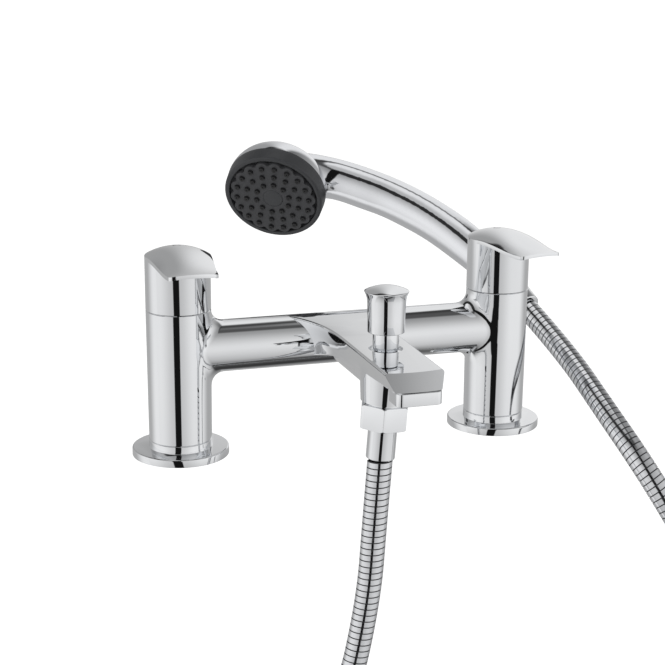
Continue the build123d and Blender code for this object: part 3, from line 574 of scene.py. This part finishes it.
    def sky(self, wires: Wiring, way: bpy.types.NodeSocket) -> bpy.types.NodeSocket:
        """Works out what the chrome sees of the room above the floor.

        Args:
            wires: the node tree's wiring.
            way: the direction that it looks in.

        Returns:
            The brightness there.
        """
        at = self.bearings(wires, way)
        fall = wires.range(at.rise, *self.height_reach, *self.height_tones)
        front = wires.sum("MULTIPLY", self.ring(wires, at), fall)
        sideways = wires.sum("DIVIDE", at.across, wires.sum("ADD", at.flat, TINY))
        behind = wires.range(sideways, *self.back_reach, *self.back_tones)
        inward = wires.sum("DIVIDE", at.toward, wires.sum("ADD", at.flat, TINY))
        share = wires.range(inward, *self.back_share, 0.0, 1.0)
        walls = wires.add("ShaderNodeMix", data_type="FLOAT")
        wires.join(share, walls.inputs["Factor"])
        wires.join(front, walls.inputs["A"])
        wires.join(behind, walls.inputs["B"])
        facing = wires.add("ShaderNodeVectorMath", operation="DOT_PRODUCT")
        wires.join(way, facing.inputs[0])
        facing.inputs[1].default_value = self.roof_axis()
        spread = wires.sum("ARCCOSINE", wires.sum("MINIMUM", facing.outputs["Value"], MOST_COSINE))
        roof = wires.range(spread, self.roof_spread, self.roof_spread * self.roof_edge, 0.0, 1.0)
        mix = wires.add("ShaderNodeMix", data_type="FLOAT")
        wires.join(roof, mix.inputs["Factor"])
        wires.join(walls.outputs["Result"], mix.inputs["A"])
        wires.join(wires.range(at.toward, *self.roof_reach, *self.roof_tones), mix.inputs["B"])
        from_seam = wires.sum("ABSOLUTE", wires.sum("SUBTRACT", spread, self.roof_spread))
        inner = wires.range(sideways, *self.seam_reach, *self.seam_inner)
        outer = wires.range(sideways, *self.seam_reach, *self.seam_outer)
        depth = wires.range(sideways, *self.seam_reach, *self.seam_tones)
        seam = wires.range(from_seam, inner, outer, depth, 1.0)
        return wires.sum("ADD", wires.sum("MULTIPLY", mix.outputs["Result"], seam), self.dark_tone)

    def roof_axis(self) -> Vector:
        """Gives the direction of the middle of the overhead panel, which leans to the front left.

        Returns:
            The direction, one unit long.
        """
        bearing = self.yaw + math.radians(180) - math.radians(self.roof_bearing)
        lean = math.radians(self.roof_lean)
        reach = math.sin(lean)
        return Vector((math.sin(bearing) * reach, math.cos(bearing) * reach, math.cos(lean)))

    def world(self) -> None:
        """Wraps the scene in white panels with the dark gaps between them that chrome shows."""
        world = bpy.data.worlds.new("studio_world")
        world.use_nodes = True
        bpy.context.scene.world = world
        wires = Wiring(world.node_tree)
        place = wires.add("ShaderNodeTexCoord")
        glow = self.sky(wires, place.outputs["Generated"])
        rays = wires.add("ShaderNodeLightPath")
        studio = wires.add("ShaderNodeBackground")
        wires.join(glow, studio.inputs["Strength"])
        studio.inputs["Color"].default_value = WHITE
        white = wires.add("ShaderNodeBackground")
        white.inputs["Color"].default_value = WHITE
        white.inputs["Strength"].default_value = 1.0
        choose = wires.add("ShaderNodeMixShader")
        wires.join(rays.outputs["Is Camera Ray"], choose.inputs["Fac"])
        wires.join(studio.outputs["Background"], choose.inputs[1])
        wires.join(white.outputs["Background"], choose.inputs[2])
        output = wires.add("ShaderNodeOutputWorld")
        wires.join(choose.outputs["Shader"], output.inputs["Surface"])

    def lamp(self) -> None:
        """Hangs one broad soft lamp to the front left."""
        data = bpy.data.lights.new("soft_lamp", "AREA")
        data.shape = "SQUARE"
        data.size = self.lamp_size
        data.energy = self.lamp_power
        lamp = bpy.data.objects.new("soft_lamp", data)
        lamp.location = self.lamp_place
        aim = self.lamp_aim - lamp.location
        lamp.rotation_euler = aim.to_track_quat("-Z", "Y").to_euler()
        lamp.visible_glossy = False
        bpy.context.scene.collection.objects.link(lamp)

    def build(self) -> None:
        """Sets up the whole studio."""
        bpy.context.scene.view_settings.view_transform = "Standard"
        self.camera()
        self.floor()
        self.world()
        self.lamp()


@dataclass
class ShowerHose:
    """The spiral-wound steel hose between the outlet and the handset.

    One winding takes one pitch of the line: turn_shares gives the rows of its groove and its band
    as a share of the pitch and a height over the groove, and flat_steps the rows that start steel; the other
    rows take a darker grey, painted shade in the groove.
    """

    radius: float = 0.0065
    groove: float = 0.0005
    pitch: float = 0.0033
    length: float = 1.25
    around: int = 26
    end_point: Vector = field(default_factory=lambda: Vector((0.12716, 0.0386, 0.05496)))
    end_axis: Vector = field(default_factory=lambda: Vector((0.246694, -0.844934, -0.474583)))
    blend_length: float = 0.07
    turn_shares: tuple = ((0.0, 0.0), (0.08, 0.0), (0.13, 1.0), (0.55, 1.0), (0.95, 1.0))
    flat_steps: tuple = (2, 3)
    smooth_angle: float = math.radians(30.0)
    spline_steps: int = 16
    spline_order: int = 3
    route: tuple = (
        (-0.002, -0.068, 0.0109),
        (-0.0043, -0.068, -0.0211),
        (-0.0074, -0.069, -0.066),
        (-0.02, -0.07, -0.124),
        (-0.0575, -0.0715, -0.1776),
        (-0.1005, -0.073, -0.2345),
        (-0.1125, -0.075, -0.2957),
        (-0.0885, -0.0775, -0.356),
        (-0.0175, -0.0805, -0.3977),
        (0.078, -0.084, -0.4096),
        (0.172, -0.0875, -0.3909),
        (0.237, -0.091, -0.345),
        (0.267, -0.094, -0.2864),
        (0.2695, -0.096, -0.2251),
        (0.235, -0.097, -0.1665),
        (0.198, -0.095, -0.111),
        (0.174, -0.086, -0.055),
        (0.1515, -0.068, -0.012),
        (0.141, -0.036, 0.0145),
        (0.137, 0.0048, 0.036),
        (0.12716, 0.038604, 0.054965),
    )

    def spline_points(self) -> list[Vector]:
        """Reads points along the smooth spline that the route's points control.

        Returns:
            Points from the outlet to the handset.
        """
        curve = bpy.data.curves.new("hose_line", "CURVE")
        curve.dimensions = "3D"
        curve.resolution_u = self.spline_steps
        spline = curve.splines.new("NURBS")
        spline.points.add(len(self.route) - 1)
        for point, place in zip(spline.points, self.route):
            point.co = (*place, 1.0)
        spline.order_u = self.spline_order
        spline.use_endpoint_u = True
        line = bpy.data.objects.new("hose_line", curve)
        bpy.context.scene.collection.objects.link(line)
        bpy.context.view_layer.update()
        mesh = bpy.data.meshes.new_from_object(line)
        points = [vertex.co.copy() for vertex in mesh.vertices]
        bpy.data.objects.remove(line)
        bpy.data.curves.remove(curve)
        bpy.data.meshes.remove(mesh)
        return points

    def frames(self, points: list[Vector]) -> tuple[list[float], list[Vector], list[Vector]]:
        """Works out distances along the line, its direction, and a side direction that never twists.

        Args:
            points: the line's points.

        Returns:
            The distance of each point from the start, its direction and its side direction.
        """
        distances = [0.0]
        ways = []
        sides = [Vector((1.0, 0.0, 0.0))]
        for before, after in zip(points, points[1:]):
            distances.append(distances[-1] + (after - before).length)
        for index in range(len(points)):
            low = points[max(index - 1, 0)]
            high = points[min(index + 1, len(points) - 1)]
            along = (high - low).normalized()
            side = sides[-1] - along * sides[-1].dot(along)
            ways.append(along)
            sides.append(side.normalized())
        return distances, ways, sides[1:]

    def build(self) -> tuple[bpy.types.Object, list[Vector]]:
        """Winds the strip along the line.

        Returns:
            The hose and the points that it follows.
        """
        points = self.spline_points()
        distances, ways, sides = self.frames(points)
        whole = distances[-1]
        turns = int(whole / self.pitch)
        steps = len(self.turn_shares)
        rows = []
        at = 0
        for row in range(turns * steps + 1):
            turn, step = divmod(row, steps)
            share, height = self.turn_shares[step]
            ring = []
            for spoke in range(self.around):
                angle = 2 * math.pi * spoke / self.around
                run = (turn + share + spoke / self.around) * self.pitch
                run = min(run, whole)
                while at > 0 and distances[at] > run:
                    at -= 1
                while at < len(distances) - 2 and distances[at + 1] < run:
                    at += 1
                part = (run - distances[at]) / (distances[at + 1] - distances[at])
                middle = points[at].lerp(points[at + 1], part)
                along = ways[at].lerp(ways[at + 1], part).normalized()
                side = sides[at].lerp(sides[at + 1], part)
                side = (side - along * side.dot(along)).normalized()
                other = along.cross(side)
                reach = self.radius - self.groove * (1.0 - height)
                ring.append(middle + side * math.cos(angle) * reach + other * math.sin(angle) * reach)
            rows.append(ring)
        vertices = [tuple(place) for ring in rows for place in ring]
        faces = []
        for row in range(len(rows) - 1):
            for spoke in range(self.around - 1):
                first = row * self.around + spoke
                faces.append((first, first + 1, first + 1 + self.around, first + self.around))
        for row in range(len(rows) - 1 - steps):
            last = row * self.around + self.around - 1
            start = (row + steps) * self.around
            faces.append((last, start, start + self.around, last + self.around))
        mesh = bpy.data.meshes.new("hose_winding")
        mesh.from_pydata(vertices, [], faces)
        mesh.validate()
        hose = mesh_piece("hose_winding", mesh)
        dress(hose, HOSE_STEEL, HOSE_GROOVE_SHADE)
        # Groove rows take the darker grey, painted shade in the groove; the flat rows stay steel.
        for face in mesh.polygons:
            row = min(face.vertices) // self.around
            face.material_index = 0 if row % steps in self.flat_steps else 1
        smooth(hose, self.smooth_angle)
        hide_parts("shower_hose")
        start = self.end_point + self.end_axis * self.blend_length
        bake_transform(hose, "root", "hose_end", start=tuple(start), end=tuple(self.end_point))
        return hose, points


@dataclass
class Mixer:
    """The cast body with its flanges, nozzle and outlet fittings."""

    parts: tuple[PolishedPart, ...] = (
        PolishedPart("mixer_body", "cast_body", CHROME, Slot.CHROME, 0.0),
        PolishedPart("outlet_nozzle", "spout_nozzle", CHROME, Slot.CHROME, 0.0003),
        PolishedPart("diverter_bonnet", "diverter_collar", CHROME, Slot.CHROME, 0.0002),
        PolishedPart("diverter_knob", "diverter_pull", CHROME, Slot.CHROME, 0.0003),
        PolishedPart("left_base_flange", "left_flange", CHROME, Slot.CHROME, 0.0003),
        PolishedPart("right_base_flange", "right_flange", CHROME, Slot.CHROME, 0.0003),
    )
    hose_fittings: tuple[PolishedPart, ...] = (
        PolishedPart("outlet_nut", "hose_nut", CHROME, Slot.CHROME, 0.0003),
        PolishedPart("outlet_ferrule", "hose_ferrule", CHROME, Slot.CHROME, 0.0003),
        PolishedPart("hose_tail", "hose_end_tail", CHROME, Slot.CHROME),
        PolishedPart("end_nut", "hose_cone_nut", CHROME, Slot.CHROME, 0.0003),
    )

    def build(self) -> list[bpy.types.Object]:
        """Builds the body and its fittings.

        Returns:
            The fittings that belong to the hose.
        """
        for part in self.parts:
            part.build()
        return [part.build() for part in self.hose_fittings]


@dataclass
class Lever:
    """One quarter-turn handle with its temperature mark."""

    side: Side

    def build(self) -> None:
        """Builds the handle and its mark."""
        side = self.side.value
        PolishedPart(f"{side}_handle", f"{side}_lever", CHROME, Slot.CHROME, 0.0005).build()
        slot = Slot.HOT if self.side is Side.LEFT else Slot.COLD
        PolishedPart(f"{side}_temperature_mark", f"{side}_letter", LETTER_GREY, slot).build()


@dataclass
class Handset:
    """The curved handset with its spray face, and the cradle that holds it."""

    head: Vector = field(default_factory=lambda: Vector((0.004, 0.1517, 0.1078)))
    azimuth: float = math.radians(-121.5)
    elevation: float = math.radians(-29.7)
    jet_height: float = 0.0015
    parts: tuple[PolishedPart, ...] = (
        PolishedPart("handset_shell", "handset_grip", PLATED, Slot.PLATED_PLASTIC, 0.0),
        PolishedPart("face_ring", "face_rim", FACE_GREY, Slot.FACE_GREY, 0.0003),
        PolishedPart("centre_disc", "face_centre", FACE_GREY, Slot.FACE_GREY, 0.0),
        PolishedPart("cradle", "handset_cradle", CHROME, Slot.CHROME, 0.0003),
        PolishedPart("cradle_arm", "handset_arm", CHROME, Slot.CHROME, 0.0003),
    )

    def build(self) -> None:
        """Builds the handset and its holder."""
        for part in self.parts:
            part.build()
        mat = PolishedPart("spray_mat", "jet_mat", MAT_GREY, Slot.MAT_RUBBER).build()
        self.colour_jets(mat)

    def colour_jets(self, mat: bpy.types.Object) -> None:
        """Blackens the jets that stand above the mat.

        Args:
            mat: the mat with its jets.
        """
        level = math.cos(self.elevation)
        normal = Vector((level * math.cos(self.azimuth), level * math.sin(self.azimuth),
                         math.sin(self.elevation)))
        heights = [(face.center - self.head).dot(normal) for face in mat.data.polygons]
        log.info("mat face heights %.4f to %.4f", min(heights), max(heights))
        mat.data.materials.append(JET_BLACK.material())
        top = max(heights)
        for face, height in zip(mat.data.polygons, heights):
            if height > top - self.jet_height:
                face.material_index = 1


@dataclass
class InnerWorks:
    """The parts inside, which keep their own meshes and get their real materials."""

    finishes: dict = field(default_factory=lambda: {
        "flow_straightener": NYLON,
        "diverter_seat": BRASS,
        "diverter_disc": BRASS,
        "diverter_washers": RUBBER,
        "diverter_rod": STEEL,
        "bonnet_seal": RUBBER,
        "outlet_washer": RUBBER,
        "face_seal": RUBBER,
        "water_plate": NYLON,
        "handset_inlet": BRASS,
        "end_washer": RUBBER,
        "cradle_screw": STEEL,
    })
    sided: dict = field(default_factory=lambda: {
        "base_seal": RUBBER,
        "seat_seal": RUBBER,
        "valve_body": BRASS,
        "fixed_disc": CERAMIC,
        "moving_disc": CERAMIC,
        "spindle": BRASS,
        "stem_seal": RUBBER,
        "spline_bush": NYLON,
        "grub_screw": STEEL,
    })

    def build(self) -> None:
        """Dresses every node that stays."""
        for node, finish in self.finishes.items():
            dress_node(node, finish)
        for side in Side:
            for node, finish in self.sided.items():
                dress_node(f"{side.value}_{node}", finish)


def main() -> None:
    """Builds the studio and every piece in order."""
    logging.basicConfig(level=logging.INFO)
    Studio().build()
    hose_maker = ShowerHose()
    hose, points = hose_maker.build()
    fittings = Mixer().build()
    for side in Side:
        Lever(side).build()
    Handset().build()
    InnerWorks().build()


if __name__ == "__main__":
    main()
